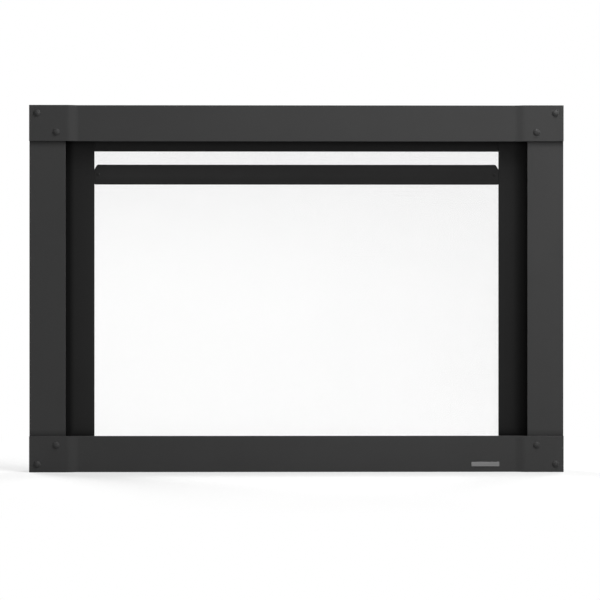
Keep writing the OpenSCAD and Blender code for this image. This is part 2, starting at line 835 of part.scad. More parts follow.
// Right-hand lift tab: a foot on the top channel, an upright and a finger edge
module lift_tab() {
    x0 = tab_x - tab_w / 2;
    x1 = tab_x + tab_w / 2;
    y1 = screen_back_y;
    block([x0, screen_front_y, screen_top_z], [x1, y1, screen_top_z + guide_t]);
    block([x0, y1 - guide_t, screen_top_z], [x1, y1, screen_top_z + tab_h]);
    block([x0, y1 - guide_t, screen_top_z + tab_h - guide_t],
        [x1, y1 + tab_reach, screen_top_z + tab_h]);
}

module left_lift_tab() {
    color(screen_black) mirror([1, 0, 0]) lift_tab();
}

module right_lift_tab() {
    color(screen_black) lift_tab();
}

top_rail();
bottom_rail();
left_stile();
right_stile();
outer_rivets();
inner_rivets();
strap_studs();
strap_nuts();
left_skirt();
right_skirt();
top_skirt();
bottom_skirt();
skirt_rivets();
left_jamb();
right_jamb();
header_panel();
sill_panel();
crossbar();
crossbar_rivets();
panel_screws();
left_guide();
right_guide();
left_rest();
right_rest();
left_hanger();
right_hanger();
hanger_screws();
nameplate();
screen_mesh();
screen_left_channel();
screen_right_channel();
screen_top_channel();
screen_bottom_channel();
left_lift_tab();
right_lift_tab();
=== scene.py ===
# %% [markdown]
# # Dressing a fireplace screen front
#
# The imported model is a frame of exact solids: four black steel straps riveted at the
# corners, a shallow folded box behind them, an inner frame with an air slot, and a wire
# screen panel that lifts out. This lesson keeps every solid where it is and gives it the
# look of the made thing: rounded strap edges, folded sheet bends, set rivets, threaded
# studs, fine wire cloth, and the paints and platings on them. Each step says what the
# piece is, how it could be made, and why this way was chosen.

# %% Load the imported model
import json
import math

import bmesh
import bpy
from mathutils import Matrix, Vector

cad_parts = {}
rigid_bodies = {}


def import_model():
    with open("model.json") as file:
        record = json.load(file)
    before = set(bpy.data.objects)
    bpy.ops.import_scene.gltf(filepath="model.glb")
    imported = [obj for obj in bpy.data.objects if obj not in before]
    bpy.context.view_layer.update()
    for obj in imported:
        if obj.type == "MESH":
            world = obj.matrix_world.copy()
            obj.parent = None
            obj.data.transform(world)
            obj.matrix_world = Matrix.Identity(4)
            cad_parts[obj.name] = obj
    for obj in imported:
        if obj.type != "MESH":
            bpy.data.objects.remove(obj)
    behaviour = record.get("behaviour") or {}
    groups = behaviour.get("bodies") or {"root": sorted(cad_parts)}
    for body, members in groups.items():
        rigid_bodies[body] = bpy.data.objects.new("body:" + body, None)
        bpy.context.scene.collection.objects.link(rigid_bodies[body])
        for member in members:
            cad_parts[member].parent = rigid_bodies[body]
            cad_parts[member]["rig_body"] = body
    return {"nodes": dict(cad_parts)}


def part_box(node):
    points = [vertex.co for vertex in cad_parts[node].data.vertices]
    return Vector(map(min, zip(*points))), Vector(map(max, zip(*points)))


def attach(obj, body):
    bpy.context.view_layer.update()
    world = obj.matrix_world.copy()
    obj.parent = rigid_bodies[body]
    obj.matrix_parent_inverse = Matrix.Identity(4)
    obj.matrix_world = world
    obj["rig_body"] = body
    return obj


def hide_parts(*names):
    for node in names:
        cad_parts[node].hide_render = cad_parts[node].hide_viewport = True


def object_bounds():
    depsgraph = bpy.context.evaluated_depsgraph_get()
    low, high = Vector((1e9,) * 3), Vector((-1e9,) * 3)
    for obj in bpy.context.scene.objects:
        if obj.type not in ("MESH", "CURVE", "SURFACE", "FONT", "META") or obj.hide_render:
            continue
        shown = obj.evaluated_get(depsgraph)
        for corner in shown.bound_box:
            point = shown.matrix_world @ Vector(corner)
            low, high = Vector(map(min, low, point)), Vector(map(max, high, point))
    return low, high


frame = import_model()
cad_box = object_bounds()
MM = 0.001
print("CAD nodes:", len(frame["nodes"]), "box in mm:", [[round(c / MM, 1) for c in p] for p in cad_box])

# %% [markdown]
# ## The camera
#
# A product picture like this is taken from far away with a long lens, so the strap frame
# stays almost a true rectangle. Its left side measures a trace taller than its right one,
# which means that the camera is turned by a fraction of a degree. The camera could be
# aimed by eye, but its place is worked out here: the lens follows from how many picture
# points a metre of the straps takes up, and the camera is moved sideways by as much as
# the turn would otherwise shift the picture.

# %% Place the camera
IMAGE_POINTS = 600
POINTS_PER_METRE = 501.6
eye_distance = 3.2
eye_turn = math.radians(0.42)
eye_height = 0.3393
eye_shift = 0.0066
strap_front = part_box("top_rail")[0].y
SENSOR = 36.0

lens_camera = bpy.data.cameras.new("long_lens")
lens_camera.sensor_width = SENSOR
lens_camera.lens = SENSOR * eye_distance * POINTS_PER_METRE / IMAGE_POINTS
lens_camera.clip_end = 60
eye = bpy.data.objects.new("long_lens", lens_camera)
eye.location = (eye_shift - eye_distance * math.tan(eye_turn), strap_front - eye_distance, eye_height)
eye.rotation_euler = (math.pi / 2, 0, -eye_turn)
bpy.context.scene.collection.objects.link(eye)
bpy.context.scene.camera = eye
print("lens in mm:", round(lens_camera.lens, 2), "eye:", [round(c, 4) for c in eye.location])

# %% [markdown]
# ## A small workbench for node trees
#
# Materials and Geometry Nodes are both trees of small boxes. Clicking them together is
# fine for one, but a script that makes many reads better as arithmetic. `Flow` wraps one
# output socket, and plus, minus, times and divide on it add Math nodes, also when the
# number stands first, as in `1 - mask`. `place` adds any other node: its settings come
# first, because they decide which sockets exist, and then its sockets' values or links.

# %% Flow: arithmetic on sockets
class Flow:
    """One value on its way through a node tree."""

    def __init__(self, tree, socket):
        self.tree, self.socket = tree, socket

    def maths(self, operation, *values):
        return place(self.tree, "ShaderNodeMath", {"operation": operation}, dict(enumerate(values)))

    def __add__(self, other):
        return self.maths("ADD", self, other)

    def __radd__(self, other):
        return self.maths("ADD", other, self)

    def __sub__(self, other):
        return self.maths("SUBTRACT", self, other)

    def __rsub__(self, other):
        return self.maths("SUBTRACT", other, self)

    def __mul__(self, other):
        return self.maths("MULTIPLY", self, other)

    def __rmul__(self, other):
        return self.maths("MULTIPLY", other, self)

    def __truediv__(self, other):
        return self.maths("DIVIDE", self, other)

    def __rtruediv__(self, other):
        return self.maths("DIVIDE", other, self)

    def root(self):
        return self.maths("SQRT", self)

    def size(self):
        return self.maths("ABSOLUTE", self)

    def cosine(self):
        return self.maths("COSINE", self)

    def at_least(self, other):
        return self.maths("MAXIMUM", self, other)

    def at_most(self, other):
        return self.maths("MINIMUM", self, other)

    def above(self, other):
        return self.maths("GREATER_THAN", self, other)

    def below(self, other):
        return self.maths("LESS_THAN", self, other)


def usable(sockets, key):
    """The socket of that name, or of that place in the row, among those that are in use."""
    live = [s for s in sockets if s.enabled]
    return live[key] if isinstance(key, int) else next(s for s in live if s.name == key)


def place(tree, kind, settings=None, sockets=None, out=0):
    """Adds one node, its settings first and its sockets after, and gives back one output."""
    node = tree.nodes.new(kind)
    for name, value in (settings or {}).items():
        if name == "stops":
            for stop, (where, colour) in zip(ramp_stops(node, len(value)), value):
                stop.position, stop.color = where, (*colour, 1)
        else:
            setattr(node, name, value)
    for key, value in (sockets or {}).items():
        target = usable(node.inputs, key)
        for one in value if isinstance(value, list) else [value]:
            if isinstance(one, Flow):
                tree.links.new(one.socket, target)
            else:
                target.default_value = one
    return Flow(tree, usable(node.outputs, out)) if len(node.outputs) else None


def ramp_stops(node, count):
    """The stops of a colour ramp, as many as are needed."""
    while len(node.color_ramp.elements) < count:
        node.color_ramp.elements.new(1.0)
    return node.color_ramp.elements


def parts_of(flow):
    """The X, Y and Z of a vector as three flows."""
    split = place(flow.tree, "ShaderNodeSeparateXYZ", {}, {0: flow})
    return [Flow(flow.tree, s) for s in split.socket.node.outputs]


def vector(tree, x, y, z):
    """Three values as one vector."""
    return place(tree, "ShaderNodeCombineXYZ", {}, {0: x, 1: y, 2: z})


print("workbench ready")

# %% [markdown]
# ## The finishes
#
# The straps and their rivets have a satin black powder coat: powder that melts and flows
# in an oven, which leaves a very fine orange peel and a soft sheen. The folded box behind
# and the screen's frame are painted a plain matt black, and the inner frame is matt black
# with painted shade on it. The fasteners are bright zinc, the small blank plate is brushed
# aluminium, and the wire cloth is bare stainless steel. An image texture could fake each
# of them, but noise in Object coordinates has a true scale in millimetres and needs no
# unwrapping, so the same recipe fits a strap a metre long and a rivet a few millimetres
# wide.

# %% What every finish starts with
def new_finish(name, **fixed):
    """A material with one Principled shader, whose fixed numbers stand on its own sockets."""
    finish = bpy.data.materials.new(name)
    finish.use_nodes = True
    tree = finish.node_tree
    tree.nodes.clear()
    shader = tree.nodes.new("ShaderNodeBsdfPrincipled")
    for label, value in fixed.items():
        shader.inputs[label.replace("_", " ")].default_value = value
    place(tree, "ShaderNodeOutputMaterial", {}, {"Surface": Flow(tree, shader.outputs[0])})
    spot = place(tree, "ShaderNodeTexCoord", {}, {}, "Object")
    return finish, tree, shader, spot


def grain(spot, size, detail=2.0, rough=0.5, stretch=(1, 1, 1)):
    """Soft noise whose blobs are about size metres wide, from 0 to 1."""
    turned = place(spot.tree, "ShaderNodeMapping", {}, {"Vector": spot, "Scale": stretch})
    return place(spot.tree, "ShaderNodeTexNoise", {}, {
        "Vector": turned, "Scale": 1 / size, "Detail": detail, "Roughness": rough})


def shade_between(share, dark, light):
    """A colour that runs from dark to light as the share runs from 0 to 1."""
    return place(share.tree, "ShaderNodeMix", {"data_type": "RGBA"}, {
        "Factor": share, "A": (*dark, 1), "B": (*light, 1)})


def relief(tree, height, depth, strength=1.0):
    """Turns a height from 0 to 1 into a normal, depth being its real size in metres."""
    return place(tree, "ShaderNodeBump", {}, {
        "Height": height, "Distance": depth, "Strength": strength}, "Normal")


def feed(tree, shader, **flows):
    """Links what varies over the surface to the shader's sockets."""
    for label, flow in flows.items():
        tree.links.new(flow.socket, shader.inputs[label.replace("_", " ")])


print("finish helpers ready")

# %% [markdown]
# ### Powder coat and matt paint
#
# These paints are one recipe with other numbers. A broad cloudiness makes the colour drift
# by a few percent, as a sprayed coat does. A finer noise gives the orange peel, and a
# speckle finer still varies the roughness, so that the sheen looks dry and not wet. The
# uprights' coat carries painted shade: it darkens towards the two heights where a rail
# lies over an upright. In a white room a film of paint mirrors white from every side and
# turns grey, and a specular level far below the usual half keeps it black.

# %% Paint recipe
JOINT_SHADE_REACH = 13 * MM
JOINT_SHADE = (0.004,) * 3


def paint(name, dark, light, roughness, sheen, peel_size, peel_depth, joints=()):
    """Sprayed or baked paint: cloudy colour, orange peel, a dry speckle, and painted shade along joints."""
    finish, tree, shader, spot = new_finish(name, Specular_IOR_Level=sheen, Metallic=0.0)
    cloud = grain(spot, 90 * MM, 3.0)
    peel = grain(spot, peel_size, 2.0, 0.55)
    speckle = grain(spot, 0.7 * MM, 1.0)
    tone = shade_between(cloud * 0.5 + speckle * 0.5, dark, light)
    height = parts_of(spot)[2]
    # Painted shade: within a short reach of each rail edge's height the colour goes towards near-black.
    for joint in joints:
        near = (1 - (height - joint).size() / JOINT_SHADE_REACH).at_least(0)
        tone = place(tree, "ShaderNodeMix", {"data_type": "RGBA"}, {
            "Factor": near * (0.30 + cloud * 0.25), "A": tone, "B": (*JOINT_SHADE, 1)})
    gloss = roughness + (speckle - 0.5) * 0.12 + (cloud - 0.5) * 0.08
    feed(tree, shader, Base_Color=tone, Roughness=gloss, Normal=relief(tree, peel, peel_depth))
    return finish


COAT = ((0.036,) * 3, (0.050,) * 3, 0.44, 0.06, 2.2 * MM, 0.020 * MM)
strap_coat = paint("satin_black_powder_coat", *COAT)
rail_edges = (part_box("top_rail")[0].z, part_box("bottom_rail")[1].z)
# The uprights get painted shade at the heights of the rails' edges.
upright_coat = paint("upright_coat_painted_shade", *COAT, joints=rail_edges)
box_paint = paint("box_black_paint", (0.030,) * 3, (0.040,) * 3, 0.55, 0.12, 1.6 * MM, 0.012 * MM)
channel_paint = paint("screen_black_paint", (0.022,) * 3, (0.030,) * 3, 0.50, 0.12, 0.9 * MM, 0.008 * MM)
print("paints:", strap_coat.name, upright_coat.name, box_paint.name, channel_paint.name)


# %% [markdown]
# ### Inner paint with painted shade
#
# The inner sheets lie well behind the straps and close to the fire. Their paint carries
# painted shade: it darkens in the corners beside the uprights, more on the right, and in a
# thin line above the bottom rail, and it is painted lighter on the left half than on the
# right, as the light falls there. An image could hold such marks, but they follow the
# shape, so masks made from the position do it with true sizes: the distance from the
# upright, the height above the rail and a lean from side to side. The sheets' backs bake
# in the heat and turn greyer. Each face says how far it looks back in an attribute of its
# own, which is written where the sheets are made.

# %% Paint of the inner frame, with painted shade
CORNER_LEFT, CORNER_RIGHT = 14 * MM, 24 * MM
CORNER_DEPTH = 0.8
FOOT_REACH, FOOT_DEPTH = 16 * MM, 0.6
BAKED = (0.036,) * 3
SHADE_BLACK = (0.001,) * 3
upright_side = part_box("right_stile")[0].x
rail_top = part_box("bottom_rail")[1].z


def painted_shade_mask(x, z):
    """How much painted shade covers a place: most beside the uprights, then along the bottom rail."""
    # Painted shade: wider beside the right upright, where its shadow falls, than beside the left one.
    right = (x * 1000).at_least(0).at_most(1)
    width = CORNER_LEFT + (CORNER_RIGHT - CORNER_LEFT) * right
    beside = (1 - (upright_side - x.size()) / width).at_least(0) * 1.2
    foot = (1 - (z - rail_top) / FOOT_REACH).at_least(0).at_most(1)
    return beside.at_most(CORNER_DEPTH).at_least(foot * foot * FOOT_DEPTH)


def inner_shaded_paint(name, dark, light, lean):
    """Matt paint with painted shade in front, painted lighter to the left by its lean, and baked behind."""
    finish, tree, shader, spot = new_finish(name, Specular_IOR_Level=0.07, Metallic=0.0)
    cloud = grain(spot, 90 * MM, 3.0)
    speckle = grain(spot, 0.5 * MM, 1.0)
    x, y, z = parts_of(spot)
    back = place(tree, "ShaderNodeAttribute", {"attribute_name": "looks_back"}, {}, "Fac")
    # Painted light: the lean makes the paint lighter towards the left, where more light reaches the recess.
    share = (cloud * 0.6 + speckle * 0.4 - x * lean).at_least(0).at_most(1)
    tone = shade_between(share, dark, light)
    tone = place(tree, "ShaderNodeMix", {"data_type": "RGBA"}, {
        "Factor": back, "A": tone, "B": (*BAKED, 1)})
    # Painted shade: near-black in the corners beside the uprights and just above the bottom rail.
    tone = place(tree, "ShaderNodeMix", {"data_type": "RGBA"}, {
        "Factor": painted_shade_mask(x, z) * (1 - back), "A": tone, "B": (*SHADE_BLACK, 1)})
    peel = relief(tree, grain(spot, 1.2 * MM, 2.0, 0.55), 0.010 * MM)
    feed(tree, shader, Base_Color=tone, Roughness=0.62 + (speckle - 0.5) * 0.10, Normal=peel)
    return finish


sheet_paint = inner_shaded_paint("inner_black_paint_painted_shade", (0.0125,) * 3, (0.0165,) * 3, 0.5)
# The crossbar's copy leans further, with more painted light towards its left end.
bar_paint = inner_shaded_paint("crossbar_black_paint", (0.0135,) * 3, (0.0220,) * 3, 1.25)
print("inner frame:", sheet_paint.name, bar_paint.name, "uprights at", round(upright_side / MM, 1), "mm")

# %% [markdown]
# ### Zinc, aluminium and stainless steel
#
# Bare metal gets nearly all its looks from what it mirrors, so its colour is plain and
# the roughness does the work. Zinc plate has a faint bluish and yellowish drift and small
# cloudy patches. The blank plate is brushed along its length, which a noise stretched far
# along X gives. The wire cloth is drawn steel, smooth and bright. It carries painted shade:
# its colour darkens towards the top of the opening and to the right, as a shadow there
# would. This shade belongs to the place and not to the wire, so its tone too is worked out
# from the position.

# %% Metal recipes
def bare_metal(name, dark, light, roughness, patch, stretch=(1, 1, 1), streak_depth=0.0):
    """Metal whose roughness and tone drift in patches, or in streaks where it is brushed."""
    finish, tree, shader, spot = new_finish(name, Metallic=1.0)
    cloud = grain(spot, patch, 3.0, 0.6, stretch)
    fine = grain(spot, patch * 0.2, 2.0, 0.5, stretch)
    flows = {"Base_Color": shade_between(cloud, dark, light),
             "Roughness": roughness + (fine - 0.5) * 0.16}
    if streak_depth:
        flows["Normal"] = relief(tree, fine, streak_depth)
    feed(tree, shader, **flows)
    return finish


zinc_plate = bare_metal("bright_zinc", (0.44, 0.46, 0.48), (0.62, 0.61, 0.57), 0.42, 3 * MM)
plate_metal = bare_metal("brushed_blank_plate", (0.10, 0.10, 0.10), (0.15, 0.15, 0.15), 0.38,
                         0.6 * MM, (0.016, 1, 1), 0.004 * MM)
print("metals:", zinc_plate.name, plate_metal.name)

# %% Stainless wire, with painted shade towards the top and to the right
TOP_SHADE_FROM, TOP_SHADE_SPAN = 300 * MM, 340 * MM
SIDE_SHADE_SPAN = 850 * MM


def wire_finish():
    """Bright drawn wire with painted shade: darker to the right and towards the top of the opening."""
    finish, tree, shader, spot = new_finish("stainless_wire", Metallic=1.0)
    cloud = grain(spot, 60 * MM, 2.0)
    x, y, z = parts_of(spot)
    # Painted shade: the wire's tone darkens to the right and towards the top of the opening.
    side_shade = (x / SIDE_SHADE_SPAN + 0.5).at_least(0).at_most(1)
    top_shade = ((z - TOP_SHADE_FROM) / TOP_SHADE_SPAN + (cloud - 0.5) * 0.2).at_least(0).at_most(1)
    bright = shade_between(side_shade * side_shade, (0.92, 0.92, 0.91), (0.34, 0.34, 0.34))
    tone = place(tree, "ShaderNodeMix", {"data_type": "RGBA"}, {
        "Factor": top_shade * top_shade, "A": bright, "B": (0.04, 0.04, 0.04, 1)})
    feed(tree, shader, Base_Color=tone, Roughness=0.34 + (cloud - 0.5) * 0.1)
    return finish


wire_steel = wire_finish()
print("wire:", wire_steel.name)

# %% [markdown]
# ## Turning work into pieces
#
# Every piece ends the same way. Its modifiers are evaluated and kept as a plain mesh, its
# object sits at the origin with its place in its mesh, it gets one finish, and it is tied
# to the body that carried the solid it stands for.

# %% Helpers that settle and hand over
def stand(name, mesh):
    """A new object at the origin that shows this mesh."""
    piece = bpy.data.objects.new(name, mesh)
    bpy.context.scene.collection.objects.link(piece)
    return piece


def settle(piece):
    """Replaces a piece's mesh and modifiers by the plain mesh that they give."""
    bpy.context.view_layer.update()
    shaped = piece.evaluated_get(bpy.context.evaluated_depsgraph_get())
    mesh = bpy.data.meshes.new_from_object(shaped)
    piece.modifiers.clear()
    piece.data = mesh
    return piece


def round_edges(piece, width, segments=3, angle=50.0, weighted=False):
    """Rounds a piece's sharp edges, or only those that carry a weight."""
    soft = piece.modifiers.new("rounded", "BEVEL")
    soft.width, soft.segments = width, segments
    soft.limit_method = "WEIGHT" if weighted else "ANGLE"
    soft.angle_limit = math.radians(angle)
    soft.use_clamp_overlap = not weighted
    soft.harden_normals = True
    piece.data.shade_smooth()
    return settle(piece)


def hand_over(piece, finish, slot, *nodes):
    """Gives a piece its finish, its body and the solids that it stands for."""
    piece.data.materials.clear()
    piece.data.materials.append(finish)
    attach(piece, frame["nodes"][nodes[0]]["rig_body"])
    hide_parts(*nodes)
    print(piece.name, "for", ", ".join(nodes), "-", len(piece.data.polygons), "faces")
    return piece


# %% Helpers for Geometry Nodes recipes
KINDS = {float: "NodeSocketFloat", int: "NodeSocketInt"}


def new_recipe(name, **sizes):
    """A Geometry Nodes tree with one named input for each size, and the flows of these inputs."""
    tree = bpy.data.node_groups.new(name, "GeometryNodeTree")
    tree.is_modifier = True
    tree.interface.new_socket("Geometry", in_out="OUTPUT", socket_type="NodeSocketGeometry")
    tree.interface.new_socket("Geometry", in_out="INPUT", socket_type="NodeSocketGeometry")
    for label, value in sizes.items():
        socket = tree.interface.new_socket(label, in_out="INPUT", socket_type=KINDS[type(value)])
        socket.default_value = value
    tree.interface.new_socket("finish", in_out="INPUT", socket_type="NodeSocketMaterial")
    entry = tree.nodes.new("NodeGroupInput")
    return tree, {s.name: Flow(tree, s) for s in entry.outputs if s.name}


def close_recipe(tree, shape, given):
    """Ends a tree: instances made real, the finish set, and the result handed out."""
    solid = place(tree, "GeometryNodeRealizeInstances", {}, {"Geometry": shape})
    coated = place(tree, "GeometryNodeSetMaterial", {}, {"Geometry": solid, "Material": given["finish"]})
    place(tree, "NodeGroupOutput", {}, {"Geometry": coated})


def follow(tree, name, start, finish, **sizes):
    """Runs a recipe on a start mesh with these sizes and keeps the result as a plain mesh."""
    piece = stand(name, start)
    recipe = piece.modifiers.new(tree.name, "NODES")
    recipe.node_group = tree
    for socket in tree.interface.items_tree:
        if socket.in_out == "INPUT" and socket.name in sizes:
            recipe[socket.identifier] = sizes[socket.name]
        if socket.name == "finish":
            recipe[socket.identifier] = finish
    return settle(piece)


def nothing():
    """An empty mesh to start a recipe that needs no points."""
    return bpy.data.meshes.new("start")


def marks(places):
    """A mesh of bare points, each with the direction in which its fastener's head faces."""
    mesh = bpy.data.meshes.new("marks")
    mesh.from_pydata([spot for spot, aim in places], [], [])
    aims = mesh.attributes.new("aim", "FLOAT_VECTOR", "POINT")
    aims.data.foreach_set("vector", [c for spot, aim in places for c in aim])
    return mesh


print("recipe helpers ready")

# %% [markdown]
# ## The straps
#
# Each rail is one length of flat bar. Where it crosses an upright its end is joggled: a
# press sets it forward by the bar's own thickness over a short length, so that the rest
# of the bar lies in one plane with the uprights. The joggle catches the light as a band,
# lighter on the left and darker on the right. A box with a few moved points would give
# hard lines, so the bar is swept along its middle line instead: a Geometry Nodes recipe
# draws that line, lifts its ends by half a cosine wave and sweeps the bar's section along
# it. With no step the same recipe makes the uprights.

# %% Strap recipe
def strap_recipe():
    tree, given = new_recipe("joggled_bar", length=1.0, width=0.07, thickness=0.004, step=0.004,
                             flat_end=0.075, step_length=0.024, points=540)
    half = given["length"] * 0.5
    line = place(tree, "GeometryNodeCurvePrimitiveLine", {}, {
        "Start": vector(tree, half * -1, 0, 0), "End": vector(tree, half, 0, 0)})
    fine = place(tree, "GeometryNodeResampleCurve", {}, {"Curve": line, "Count": given["points"]})
    x = parts_of(place(tree, "GeometryNodeInputPosition"))[0]
    climb = (x.size() - (half - given["flat_end"] - given["step_length"])) / given["step_length"]
    wave = (1 - (climb.at_least(0).at_most(1) * math.pi).cosine()) * 0.5
    bent = place(tree, "GeometryNodeSetPosition", {}, {
        "Geometry": fine, "Offset": vector(tree, 0, wave * given["step"] * -1, 0)})
    upright = place(tree, "GeometryNodeSetCurveNormal", {"mode": "Z_UP"}, {"Curve": bent})
    section = place(tree, "GeometryNodeCurvePrimitiveQuadrilateral", {}, {
        "Width": given["thickness"], "Height": given["width"]})
    bar = place(tree, "GeometryNodeCurveToMesh", {}, {
        "Curve": upright, "Profile Curve": section, "Fill Caps": True})
    close_recipe(tree, bar, given)
    return tree


joggled_bar = strap_recipe()
STRAP_THICKNESS = 4 * MM
STRAP_EDGE = 0.7 * MM
FLAT_END = 75 * MM
STEP_LENGTH = 24 * MM
print("strap recipe with", len(joggled_bar.nodes), "nodes")

# %% Rails
def middle(node):
    """The middle of a CAD node's box."""
    low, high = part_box(node)
    return (low + high) / 2


def outward(piece):
    """Makes all faces of a closed piece point outwards."""
    work = bmesh.new()
    work.from_mesh(piece.data)
    bmesh.ops.remove_doubles(work, verts=work.verts, dist=1e-7)
    bmesh.ops.recalc_face_normals(work, faces=work.faces)
    work.to_mesh(piece.data)
    work.free()
    return piece


for node in ("top_rail", "bottom_rail"):
    low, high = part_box(node)
    step = high.y - low.y - STRAP_THICKNESS
    bar = follow(joggled_bar, node + "_bar", nothing(), strap_coat, length=high.x - low.x,
                 width=high.z - low.z, thickness=STRAP_THICKNESS, step=step,
                 flat_end=FLAT_END, step_length=STEP_LENGTH)
    bar.data.transform(Matrix.Translation((0, high.y - STRAP_THICKNESS / 2, (low.z + high.z) / 2)))
    round_edges(outward(bar), STRAP_EDGE)
    hand_over(bar, strap_coat, "strap", node)

# %% Uprights
UPRIGHT_POINTS = 24
for node in ("left_stile", "right_stile"):
    low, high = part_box(node)
    bar = follow(joggled_bar, node + "_bar", nothing(), upright_coat, length=high.z - low.z,
                 width=high.x - low.x, thickness=high.y - low.y, step=0.0, points=UPRIGHT_POINTS)
    bar.data.transform(Matrix.Translation(middle(node)) @ Matrix.Rotation(math.pi / 2, 4, "Y"))
    round_edges(outward(bar), STRAP_EDGE)
    hand_over(bar, upright_coat, "strap", node)

# %% [markdown]
# ## Rivets
#
# The corners are closed with two set rivets each, painted with the straps. A rivet is a
# domed head, a shank and a tail that is hammered out behind. The dome is a disc of rings
# whose points rise by the height of a ball at their distance from the middle. It could be
# spun by hand for each rivet, but one recipe with a number for each size makes them all:
# the big corner rivets, the small blind ones of the back box and the two of the crossbar.
# It stands a copy on each mark, turned to its aim.

# %% Domes and copies on marks
def dome(tree, diameter, height, rim, sides, rings):
    """A domed disc on Z = 0 that rises to its height, with a short upright rim."""
    radius = diameter * 0.5
    rise = height - rim
    ball = (radius * radius + rise * rise) / (rise * 2)
    disc = place(tree, "GeometryNodeMeshCylinder", {"fill_type": "TRIANGLE_FAN"}, {
        "Vertices": sides, "Side Segments": 1, "Fill Segments": rings, "Radius": radius, "Depth": rim})
    x, y, z = parts_of(place(tree, "GeometryNodeInputPosition"))
    lift = (ball * ball - x * x - y * y).at_least(0).root() - (ball - rise)
    raised = place(tree, "GeometryNodeSetPosition", {}, {
        "Geometry": disc, "Selection": z.above(0), "Offset": vector(tree, 0, 0, lift.at_least(0))})
    return shifted(tree, raised, rim * 0.5)


def shifted(tree, shape, height, flip=False):
    """A shape moved along Z, upside down if asked."""
    return place(tree, "GeometryNodeTransform", {}, {
        "Geometry": shape, "Translation": vector(tree, 0, 0, height),
        "Rotation": (math.pi if flip else 0, 0, 0)})


def rod(tree, radius, length, top, sides):
    """A plain round rod that hangs down from the height top."""
    plain = place(tree, "GeometryNodeMeshCylinder", {}, {
        "Vertices": sides, "Radius": radius, "Depth": length})
    return shifted(tree, plain, top - length * 0.5)


def joined(tree, *shapes):
    return place(tree, "GeometryNodeJoinGeometry", {}, {"Geometry": list(shapes)})


def copies(tree, given, shape):
    """A copy of a shape on each mark, turned to its aim and rolled by a fixed chance."""
    aim = place(tree, "GeometryNodeInputNamedAttribute", {"data_type": "FLOAT_VECTOR"}, {"Name": "aim"})
    turn = place(tree, "FunctionNodeAlignRotationToVector", {"axis": "Z"}, {"Vector": aim})
    roll = place(tree, "FunctionNodeRandomValue", {"data_type": "FLOAT"}, {
        "Min": 0.0, "Max": math.tau, "Seed": given["seed"]})
    turned = place(tree, "FunctionNodeRotateRotation", {"rotation_space": "LOCAL"}, {
        "Rotation": turn, "Rotate By": vector(tree, 0, 0, roll)})
    smooth = place(tree, "GeometryNodeSetShadeSmooth", {}, {"Geometry": shape, "Shade Smooth": True})
    return place(tree, "GeometryNodeInstanceOnPoints", {}, {
        "Points": given["Geometry"], "Instance": smooth, "Rotation": turned})


# %% Rivet recipe
def rivet_recipe():
    tree, given = new_recipe("set_rivet", head=0.014, head_height=0.0036, rim=0.0004, shank=0.007,
                             grip=0.01, tail=0.0105, tail_height=0.0024, sides=32, rings=7, seed=3)
    head = dome(tree, given["head"], given["head_height"], given["rim"], given["sides"], given["rings"])
    shank = rod(tree, given["shank"] * 0.5, given["grip"], 0.0, given["sides"])
    tail = dome(tree, given["tail"], given["tail_height"], given["rim"], given["sides"], 4)
    tail = shifted(tree, tail, given["grip"] * -1, flip=True)
    close_recipe(tree, copies(tree, given, joined(tree, head, shank, tail)), given)
    return tree


set_rivet = rivet_recipe()
print("rivet recipe with", len(set_rivet.nodes), "nodes")

# %% Corner rivets
RIVET_HEAD = 14 * MM
RIVET_DOME = 3.6 * MM
FRONTWARD = (0, -1, 0)


def corner_marks(node):
    """Where the four rivets of a node stand, on the front of the rails' ends."""
    low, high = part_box(node)
    inset = RIVET_HEAD / 2
    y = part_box("top_rail")[0].y
    return [((x, y, z), FRONTWARD) for x in (low.x + inset, high.x - inset)
            for z in (low.z + inset, high.z - inset)]


for node, grip in (("outer_rivets", 9.5 * MM), ("inner_rivets", 8 * MM)):
    rivets = follow(set_rivet, node + "_set", marks(corner_marks(node)), strap_coat,
                    head=RIVET_HEAD, head_height=RIVET_DOME, grip=grip)
    hand_over(rivets, strap_coat, "strap", node)

# %% [markdown]
# The holes in the straps lie hidden under the rivets' heads, so the swept bars need none.
# The same recipe makes the small rivets, whose places are read from the CAD boxes.

# %% Small rivets of the back box and the crossbar
SMALL_HEAD = 6.5 * MM
SMALL_DOME = 1.1 * MM


def side_marks(node, across, ups):
    """Marks on both outer sides of the back box, aimed outwards."""
    low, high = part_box(node)
    wall = high.x - SMALL_DOME
    return [((s * wall, across, z), (s, 0, 0)) for s in (-1, 1) for z in ups]


low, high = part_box("skirt_rivets")
pair = 11 * MM
skirt_ups = [low.z + SMALL_HEAD / 2, low.z + SMALL_HEAD / 2 + pair,
             high.z - SMALL_HEAD / 2 - pair, high.z - SMALL_HEAD / 2]
skirt_marks = marks(side_marks("skirt_rivets", (low.y + high.y) / 2, skirt_ups))
skirt_rivets = follow(set_rivet, "skirt_rivets_set", skirt_marks, box_paint, head=SMALL_HEAD,
                      head_height=SMALL_DOME, rim=0.2 * MM, shank=3.2 * MM, grip=3 * MM,
                      tail=4.8 * MM, tail_height=2 * MM, sides=20, rings=4)
hand_over(skirt_rivets, box_paint, "sheet", "skirt_rivets")

low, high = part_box("crossbar_rivets")
bar_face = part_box("crossbar")[0].y
bar_marks = [((x, bar_face, (low.z + high.z) / 2), FRONTWARD)
             for x in (low.x + SMALL_HEAD / 2, high.x - SMALL_HEAD / 2)]
bar_rivets = follow(set_rivet, "crossbar_rivets_set", marks(bar_marks), bar_paint, head=SMALL_HEAD,
                    head_height=SMALL_DOME, rim=0.2 * MM, shank=3.2 * MM, grip=2.4 * MM,
                    tail=3.0 * MM, tail_height=0.6 * MM, sides=20, rings=4)
hand_over(bar_rivets, bar_paint, "sheet", "crossbar_rivets")

